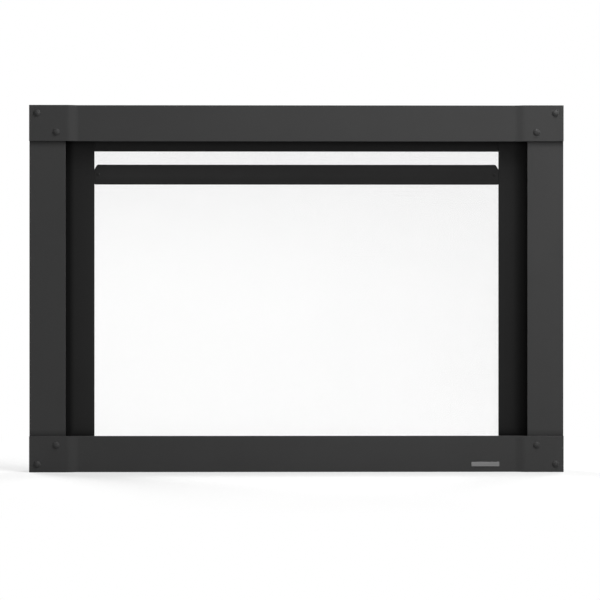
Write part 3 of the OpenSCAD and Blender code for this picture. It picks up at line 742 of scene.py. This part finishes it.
# %% [markdown]
# ## Studs and flange nuts
#
# Threaded studs are welded to the straps' backs, and flange nuts pull the straps against
# the back box. A thread can be modelled as rings, but a real one climbs as it goes round.
# Here the rod's points move in and out with a zigzag of their height plus their angle, so
# the groove winds up by one pitch a turn. The nut is a six-sided prism cut by a cone,
# which leaves the curved chamfer that a turned nut has on its corners. The cone reaches
# past the prism, and the prism starts inside the flange, because Boolean nodes give
# another mesh each time where two faces lie in one plane.

# %% Thread, stud and nut recipes
PITCH_STEPS = 4
POINT_SHARE, POINT_SLOPE = 0.94, 4
WHOLE_TURNS = 20


def threaded(tree, diameter, length, pitch, depth, top, sides=16):
    """A rod with a climbing groove and a short point, hanging down from the height top."""
    rows = length / pitch * PITCH_STEPS
    plain = place(tree, "GeometryNodeMeshCylinder", {}, {
        "Vertices": sides, "Side Segments": rows, "Radius": diameter * 0.5, "Depth": length})
    x, y, z = parts_of(place(tree, "GeometryNodeInputPosition"))
    turn = y.maths("ARCTAN2", y, x) / math.tau
    groove = y.maths("PINGPONG", z / pitch + turn + WHOLE_TURNS, 0.5) * 2
    point = (z.size() / (length * 0.5) - POINT_SHARE).at_least(0) * POINT_SLOPE
    shrink = groove * depth / (diameter * 0.5) + point
    cut = place(tree, "GeometryNodeSetPosition", {}, {
        "Geometry": plain, "Offset": vector(tree, x * shrink * -1, y * shrink * -1, 0)})
    return shifted(tree, cut, top - length * 0.5)


def stud_recipe():
    tree, given = new_recipe("weld_stud", diameter=0.005, length=0.012, pitch=0.0008,
                             thread_depth=0.00022, seed=5)
    rod_shape = threaded(tree, given["diameter"], given["length"], given["pitch"],
                         given["thread_depth"], 0.0)
    close_recipe(tree, copies(tree, given, rod_shape), given)
    return tree


def nut_recipe():
    tree, given = new_recipe("flange_nut", flats=0.008, height=0.0045, flange=0.0118,
                             flange_height=0.0011, bore=0.0051, seed=9)
    corner = given["flats"] * (0.5 / math.cos(math.pi / 6))
    prism = rod(tree, corner, given["height"] - given["flange_height"] * 0.4, given["height"], 6)
    slope = math.tan(math.radians(60))
    tip = given["flats"] * 0.485
    past = given["height"] * 0.2
    cone = place(tree, "GeometryNodeMeshCone", {}, {
        "Vertices": 36, "Radius Top": tip - past * slope,
        "Radius Bottom": tip + (given["height"] + past) * slope, "Depth": given["height"] + past * 2})
    cone = place(tree, "GeometryNodeTransform", {}, {
        "Geometry": cone, "Translation": vector(tree, 0, 0, past * -1),
        "Rotation": (0, 0, math.radians(5))})
    body = place(tree, "GeometryNodeMeshBoolean", {"operation": "INTERSECT"}, {"Mesh": [prism, cone]})
    washer = place(tree, "GeometryNodeMeshCone", {}, {
        "Vertices": 36, "Side Segments": 1, "Radius Top": given["flats"] * 0.46,
        "Radius Bottom": given["flange"] * 0.5, "Depth": given["flange_height"]})
    both = place(tree, "GeometryNodeMeshBoolean", {"operation": "UNION"}, {"Mesh": [body, washer]})
    hole = rod(tree, given["bore"] * 0.5, given["height"] * 3, given["height"] * 2, 24)
    drilled = place(tree, "GeometryNodeMeshBoolean", {"operation": "DIFFERENCE"}, {
        "Mesh 1": both, "Mesh 2": hole})
    close_recipe(tree, copies(tree, given, drilled), given)
    return tree


weld_stud, flange_nut = stud_recipe(), nut_recipe()
print("stud and nut recipes ready")

# %% Stud and nut places
STUD_LENGTH = 12 * MM
SHEET = 1.5 * MM
END_GAP, RAIL_REACH = 94 * MM, 390 * MM
BACKWARD = (0, 1, 0)
strap_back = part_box("top_rail")[1].y
lip_back = strap_back + SHEET


def spread(first, last, count):
    """Evenly spaced numbers from first to last."""
    return [first + (last - first) * i / (count - 1) for i in range(count)]


stud_low, stud_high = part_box("strap_studs")
stud_radius = 2.5 * MM
edge_x = stud_high.x - stud_radius
side_ups = spread(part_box("bottom_rail")[0].z + END_GAP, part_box("top_rail")[1].z - END_GAP, 4)
rail_xs = spread(-RAIL_REACH, RAIL_REACH, 5)
side_spots = [(s * edge_x, z) for s in (-1, 1) for z in side_ups]
low_spots = [(x, stud_low.z + stud_radius) for x in rail_xs]
top_spots = [(x, stud_high.z - stud_radius) for x in rail_xs]
print("stud places:", len(side_spots) + len(low_spots) + len(top_spots), "edge x", round(edge_x / MM, 2))

# %% Studs and nuts
studs = follow(weld_stud, "strap_studs_threaded",
               marks([((x, strap_back + STUD_LENGTH, z), BACKWARD)
                      for x, z in side_spots + low_spots + top_spots]), zinc_plate, length=STUD_LENGTH)
studs.data.set_sharp_from_angle(angle=math.radians(55))
hand_over(studs, zinc_plate, "zinc", "strap_studs")
nuts = follow(flange_nut, "strap_nuts_flanged",
              marks([((x, lip_back, z), BACKWARD) for x, z in side_spots + low_spots]
                    + [((x, lip_back + SHEET, z), BACKWARD) for x, z in top_spots]), zinc_plate)
nuts.data.set_sharp_from_angle(angle=math.radians(28))
hand_over(nuts, zinc_plate, "zinc", "strap_nuts")

# %% [markdown]
# ## Panel screws and hanger screws
#
# Pan-head screws with a cross recess hold the inner frame. The recess is two crossed bars
# cut out of the dome with Boolean nodes, one after the other, since bars that overlap in
# one mesh spoil the cut. Each screw is rolled by a seeded chance, because no fitter leaves
# all the crosses in line.

# %% Screw recipe
def screw_recipe():
    tree, given = new_recipe("pan_screw", head=0.008, head_height=0.0024, rim=0.0006, shank=0.004,
                             length=0.008, pitch=0.0009, thread_depth=0.0002, cross=0.0042,
                             cross_width=0.001, cross_depth=0.0014, seed=11)
    driven = dome(tree, given["head"], given["head_height"], given["rim"], 28, 6)
    deep = given["cross_depth"] * 2
    for size in ((given["cross"], given["cross_width"], deep),
                 (given["cross_width"], given["cross"], deep * 0.96)):
        bar = place(tree, "GeometryNodeMeshCube", {}, {"Size": vector(tree, *size)})
        driven = place(tree, "GeometryNodeMeshBoolean", {"operation": "DIFFERENCE"}, {
            "Mesh 1": driven, "Mesh 2": shifted(tree, bar, given["head_height"])})
    shank = threaded(tree, given["shank"], given["length"], given["pitch"], given["thread_depth"], 0.0, 14)
    close_recipe(tree, copies(tree, given, joined(tree, driven, shank)), given)
    return tree


pan_screw = screw_recipe()
print("screw recipe with", len(pan_screw.nodes), "nodes")

# %% Screw places and screws
SCREW_HEAD_DOME = 2.4 * MM
JAMB_FLANGE_MID, JAMB_SCREW_END = 9 * MM, 90 * MM
SILL_FOOT_MID, SILL_SCREW_END = 8 * MM, 80 * MM
REST_SCREW_ASIDE, REST_SCREW_UP = 11 * MM, 7 * MM
screws_low, screws_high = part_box("panel_screws")
jamb_low, jamb_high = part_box("right_jamb")
side_wall = screws_high.x - SCREW_HEAD_DOME
jamb_marks = [((s * side_wall, jamb_low.y + JAMB_FLANGE_MID, z), (s, 0, 0)) for s in (-1, 1)
              for z in spread(jamb_low.z + JAMB_SCREW_END, jamb_high.z - JAMB_SCREW_END, 3)]
sill_y = jamb_low.y + SHEET - SILL_FOOT_MID
sill_half = jamb_low.x - SILL_SCREW_END
sill_marks = [((x, sill_y, 0), (0, 0, -1)) for x in spread(-sill_half, sill_half, 3)]
rest_low, rest_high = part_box("right_rest")
rest_y = rest_low.y + SHEET
rest_mid = (rest_low.x + rest_high.x) / 2
rest_marks = [((s * (rest_mid + d * REST_SCREW_ASIDE), rest_y, rest_low.z + REST_SCREW_UP), BACKWARD)
              for s in (-1, 1) for d in (-1, 1)]
panel_marks = marks(jamb_marks + sill_marks + rest_marks)
panel_screws = follow(pan_screw, "panel_screws_cross", panel_marks, zinc_plate)
panel_screws.data.set_sharp_from_angle(angle=math.radians(40))
hand_over(panel_screws, zinc_plate, "zinc", "panel_screws")

hanger_low, hanger_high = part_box("hanger_screws")
HANGER_HEAD, HANGER_DOME = 9.5 * MM, 2.75 * MM
hanger_ups = spread(hanger_low.z + HANGER_HEAD / 2, hanger_high.z - HANGER_HEAD / 2, 3)
hanger_face = hanger_low.y + HANGER_DOME
hanger_marks = [((s * (hanger_high.x - HANGER_HEAD / 2), hanger_face, z), FRONTWARD)
                for s in (-1, 1) for z in hanger_ups]
hanger_screws = follow(pan_screw, "hanger_screws_cross", marks(hanger_marks), zinc_plate, head=HANGER_HEAD,
                       head_height=HANGER_DOME, shank=5 * MM, length=-hanger_face, cross=5 * MM)
hanger_screws.data.set_sharp_from_angle(angle=math.radians(40))
hand_over(hanger_screws, zinc_plate, "zinc", "hanger_screws")

# %% [markdown]
# ## Folded sheet
#
# The back box, the inner frame, the guides, the rests and the hangers are cut from sheet
# and folded. Folding leaves a round back at each bend and a small crease inside it, while
# the sheared rims stay nearly sharp. These pieces could be redrawn as folded profiles,
# but the solids already have each notch and hole, so they are copied, and every edge is
# sorted by what it is: a bend's outside and a bend's inside have wide faces on both
# sides, and a rim has the sheet's thickness on one. The Bevel modifier then rounds each
# edge by its own weight. The sheets of the inner frame also get the number on each face
# by which their paint knows the back.

# %% Sort the edges and round them
BEND, CREASE, RIM = 1.9 * MM, 0.45 * MM, 0.22 * MM
WIDE = 2.4 * MM
SHORT = 0.5 * MM
HARD = math.radians(30)


def reach(face, edge):
    """How far a face reaches from one of its edges."""
    along = (edge.verts[1].co - edge.verts[0].co).normalized()
    across = face.normal.cross(along)
    steps = [(v.co - edge.verts[0].co).dot(across) for v in face.verts]
    return max(steps) - min(steps)


def edge_radius(edge, bend, crease, rim):
    """The radius that the real edge has: bend, crease, rim or none."""
    if len(edge.link_faces) != 2 or edge.calc_length() < SHORT or edge.calc_face_angle() < math.radians(50):
        return 0.0
    if min(reach(face, edge) for face in edge.link_faces) < WIDE:
        return rim if edge.is_convex else 0.0
    return bend if edge.is_convex else crease


def folded(node, bend=BEND, crease=CREASE, rim=RIM):
    """A copy of a CAD node with its bends and rims rounded as in folded sheet."""
    mesh = frame["nodes"][node].data.copy()
    work = bmesh.new()
    work.from_mesh(mesh)
    bmesh.ops.remove_doubles(work, verts=work.verts, dist=1e-6)
    bmesh.ops.dissolve_limit(work, angle_limit=math.radians(0.5), verts=work.verts, edges=work.edges)
    weight = work.edges.layers.float.new("bevel_weight_edge")
    for edge in work.edges:
        radius = edge_radius(edge, bend, crease, rim)
        edge[weight] = radius / bend
        edge.smooth = radius > 0 or edge.calc_face_angle(0) < HARD
    work.to_mesh(mesh)
    work.free()
    return round_edges(stand(node + "_folded", mesh), bend, 3, weighted=True)


def mark_backs(piece):
    """Notes on each face how far it looks back towards the fire."""
    note = piece.data.attributes.new("looks_back", "FLOAT", "FACE")
    note.data.foreach_set("value", [max(0.0, face.normal.y) for face in piece.data.polygons])
    return piece


for node in ("left_skirt", "right_skirt", "top_skirt", "bottom_skirt", "left_guide", "right_guide",
             "left_rest", "right_rest", "left_hanger", "right_hanger"):
    hand_over(folded(node), box_paint, "sheet", node)
for node in ("left_jamb", "right_jamb", "header_panel", "sill_panel"):
    hand_over(mark_backs(folded(node)), sheet_paint, "sheet", node)
hand_over(mark_backs(folded("crossbar")), bar_paint, "sheet", "crossbar")

# %% [markdown]
# ## The blank plate
#
# A small plate sits near the right-hand end of the bottom rail. It stays blank. It is a
# stamped piece of brushed aluminium, so its corners are round and its rim is soft. The
# CAD plate could be copied and rounded like the sheets, but a slab drawn anew from the
# plate's box gives even corners.

# %% Blank plate
PLATE_CORNER = 1.5 * MM
CORNER_STEPS = 8


def rounded_slab(name, low, high, corner):
    """A flat slab with rounded corners in the XZ plane, between two corners of a box."""
    ring = []
    for cx, cz, start in ((high.x - corner, high.z - corner, 0), (low.x + corner, high.z - corner, 90),
                          (low.x + corner, low.z + corner, 180), (high.x - corner, low.z + corner, 270)):
        for i in range(CORNER_STEPS + 1):
            angle = math.radians(start + 90 * i / CORNER_STEPS)
            ring.append((cx + corner * math.cos(angle), cz + corner * math.sin(angle)))
    work = bmesh.new()
    front = [work.verts.new((x, low.y, z)) for x, z in ring]
    back = [work.verts.new((x, high.y, z)) for x, z in ring]
    work.faces.new(front)
    work.faces.new(reversed(back))
    for i in range(len(ring)):
        j = (i + 1) % len(ring)
        work.faces.new((front[j], front[i], back[i], back[j]))
    bmesh.ops.recalc_face_normals(work, faces=work.faces)
    mesh = bpy.data.meshes.new(name)
    work.to_mesh(mesh)
    work.free()
    return stand(name, mesh)


plate = rounded_slab("nameplate_blank", *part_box("nameplate"), PLATE_CORNER)
round_edges(plate, 0.25 * MM, 3, 60)
hand_over(plate, plate_metal, "plate", "nameplate")

# %% [markdown]
# ## The screen panel
#
# Behind the opening stands a light frame of folded channels with wire cloth in it. Cloth
# this fine almost vanishes against a bright room, yet it shades the opening a little. It
# could be a see-through sheet with a pattern, but real wires also look right from the
# side. There are well over a thousand, so each wire is a plain four-sided rod: Geometry
# Nodes lay one row of uprights and one row of levels that touch each other, and sweep the
# cloth's folded edge round them. That edge sits inside the channels.

# %% Wire cloth recipe
def cloth_recipe():
    tree, given = new_recipe("wire_cloth", width=0.85, height=0.62, pitch=0.0012, wire=0.0001,
                             hem=0.01, hem_thickness=0.003)
    flat = []
    width, height = given["width"], given["height"]
    for span, run, across in ((width, height, False), (height, width, True)):
        count = (span / given["pitch"]).maths("FLOOR", span / given["pitch"])
        start = (count - 1) * given["pitch"] * -0.5
        along = (0, 0, given["pitch"]) if across else (given["pitch"], 0, 0)
        layer = given["wire"] * (0.5 if across else -0.5)
        first = vector(tree, 0, layer, start) if across else vector(tree, start, layer, 0)
        row = place(tree, "GeometryNodeMeshLine", {}, {
            "Count": count, "Start Location": first, "Offset": vector(tree, *along)})
        thread = place(tree, "GeometryNodeMeshCylinder", {}, {
            "Vertices": 4, "Radius": given["wire"] * 0.5, "Depth": run})
        flat.append(place(tree, "GeometryNodeInstanceOnPoints", {}, {
            "Points": row, "Instance": thread, "Rotation": (0, math.pi / 2 if across else 0, 0)}))
    loop = place(tree, "GeometryNodeCurvePrimitiveQuadrilateral", {}, {
        "Width": given["width"] + given["hem"], "Height": given["height"] + given["hem"]})
    hem_section = place(tree, "GeometryNodeCurvePrimitiveQuadrilateral", {}, {
        "Width": given["hem"], "Height": given["hem_thickness"]})
    hem = place(tree, "GeometryNodeCurveToMesh", {}, {"Curve": loop, "Profile Curve": hem_section})
    hem = place(tree, "GeometryNodeTransform", {}, {"Geometry": hem, "Rotation": (math.pi / 2, 0, 0)})
    close_recipe(tree, joined(tree, *flat, hem), given)
    return tree


wire_cloth = cloth_recipe()
HEM = 10 * MM
CLOTH_PITCH = 1.15 * MM
WIRE = 0.075 * MM
low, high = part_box("screen_mesh")
cloth = follow(wire_cloth, "screen_wire_cloth", nothing(), wire_steel, width=high.x - low.x - 2 * HEM,
               height=high.z - low.z - 2 * HEM, pitch=CLOTH_PITCH, wire=WIRE, hem=HEM,
               hem_thickness=high.y - low.y)
cloth.data.transform(Matrix.Translation(middle("screen_mesh")))
hand_over(cloth, wire_steel, "cloth", "screen_mesh")

# %% Channels and lift tabs
CHANNEL_BEND, CHANNEL_CREASE, CHANNEL_RIM = 0.9 * MM, 0.2 * MM, 0.12 * MM
for node in ("screen_left_channel", "screen_right_channel", "screen_top_channel", "screen_bottom_channel"):
    hand_over(folded(node, CHANNEL_BEND, CHANNEL_CREASE, CHANNEL_RIM), channel_paint, "screen_frame", node)
for node in ("left_lift_tab", "right_lift_tab"):
    hand_over(folded(node), channel_paint, "screen_frame", node)

# %% [markdown]
# ## Floor, room and lamps
#
# The front stands on a pale floor in a white room. A lamp above and one far to the right
# give the straps their drift from light to dark, a weaker one ahead opens the shadows,
# and two behind show the back. The white background costs no light on the object: a Light
# Path node tells which rays come straight from the camera or by way of a mirror or a clear
# body. They find the room at full strength, and matt surfaces get only a small part of it.
# The floor keeps the object's shadow near its foot and fades to plain white farther out.

# %% Rays that see the white room
def straight_rays(tree):
    """One for a ray from the camera, off a mirror or through a clear body, and zero for others."""
    rays = place(tree, "ShaderNodeLightPath").socket.node
    names = ("Is Camera Ray", "Is Glossy Ray", "Is Transmission Ray")
    camera, mirrored, clear = [Flow(tree, rays.outputs[name]) for name in names]
    return camera.at_least(mirrored).at_least(clear)


print("rays ready")

# %% Floor
FLOOR_HALF = 9.0
FLOOR_GAP = 0.2 * MM
floor_mesh = bpy.data.meshes.new("floor")
floor_z = cad_box[0].z - FLOOR_GAP
floor_mesh.from_pydata([(-FLOOR_HALF, -FLOOR_HALF, floor_z), (FLOOR_HALF, -FLOOR_HALF, floor_z),
                        (FLOOR_HALF, FLOOR_HALF, floor_z), (-FLOOR_HALF, FLOOR_HALF, floor_z)],
                       [], [(0, 1, 2, 3)])
floor = stand("floor", floor_mesh)

floor_finish = bpy.data.materials.new("pale_floor")
floor_finish.use_nodes = True
ground = floor_finish.node_tree
ground.nodes.clear()
FLOOR_TONE = 0.35
FLOOR_LIFT = 0.50
FADE_START, FADE_LENGTH = 0.15, 0.55
matt = place(ground, "ShaderNodeBsdfDiffuse", {}, {"Color": (FLOOR_TONE,) * 3 + (1,)})
seen = straight_rays(ground)
glow = place(ground, "ShaderNodeEmission", {}, {"Color": (1, 1, 1, 1), "Strength": seen * FLOOR_LIFT})
close_by = place(ground, "ShaderNodeAddShader", {}, {0: matt, 1: glow})
white = place(ground, "ShaderNodeEmission", {}, {"Color": (1, 1, 1, 1), "Strength": 1.0})
x, y, z = parts_of(place(ground, "ShaderNodeTexCoord", {}, {}, "Object"))
beside = (x.size() - cad_box[1].x).at_least(0)
away = (((beside * beside + y * y).root() - FADE_START) / FADE_LENGTH).at_least(0).at_most(1)
whole = place(ground, "ShaderNodeMixShader", {}, {0: seen * away, 1: close_by, 2: white})
place(ground, "ShaderNodeOutputMaterial", {}, {"Surface": whole})
floor.data.materials.append(floor_finish)
print("floor at z", round(floor_z / MM, 2), "mm")

# %% Room
ROOM_LIGHT = 0.10
room = bpy.data.worlds.new("white_room")
room.use_nodes = True
bpy.context.scene.world = room
air = room.node_tree
air.nodes.clear()
strength = ROOM_LIGHT + straight_rays(air) * (1 - ROOM_LIGHT)
backdrop = place(air, "ShaderNodeBackground", {}, {"Color": (1, 1, 1, 1), "Strength": strength})
place(air, "ShaderNodeOutputWorld", {}, {"Surface": backdrop})
print("room light", ROOM_LIGHT)

# %% Lamps
def softbox(name, where, target, width, height, watts):
    """A broad lamp at a place, aimed at a target."""
    light = bpy.data.lights.new(name, "AREA")
    light.shape = "RECTANGLE"
    light.size, light.size_y, light.energy = width, height, watts
    lamp = bpy.data.objects.new(name, light)
    lamp.location = where
    lamp.rotation_euler = (Vector(target) - Vector(where)).to_track_quat("-Z", "Y").to_euler()
    bpy.context.scene.collection.objects.link(lamp)
    return lamp


AIM = (0, 0, 0.36)
lamps = [softbox("top_softbox", (0.75, -0.8, 2.2), AIM, 1.0, 1.0, 40),
         softbox("right_softbox", (3.2, -2.2, 1.8), AIM, 1.6, 1.6, 68),
         softbox("front_softbox", (0.3, -4.2, 0.8), AIM, 1.6, 1.6, 29),
         softbox("back_left_softbox", (-2.4, 2.2, 2.4), AIM, 1.6, 1.6, 140),
         softbox("back_right_softbox", (2.0, 2.8, 2.2), AIM, 1.6, 1.6, 100)]
print("lamps:", [lamp.name for lamp in lamps])

# %% Picture settings
bpy.context.scene.view_settings.view_transform = "Standard"
print("view transform:", bpy.context.scene.view_settings.view_transform)
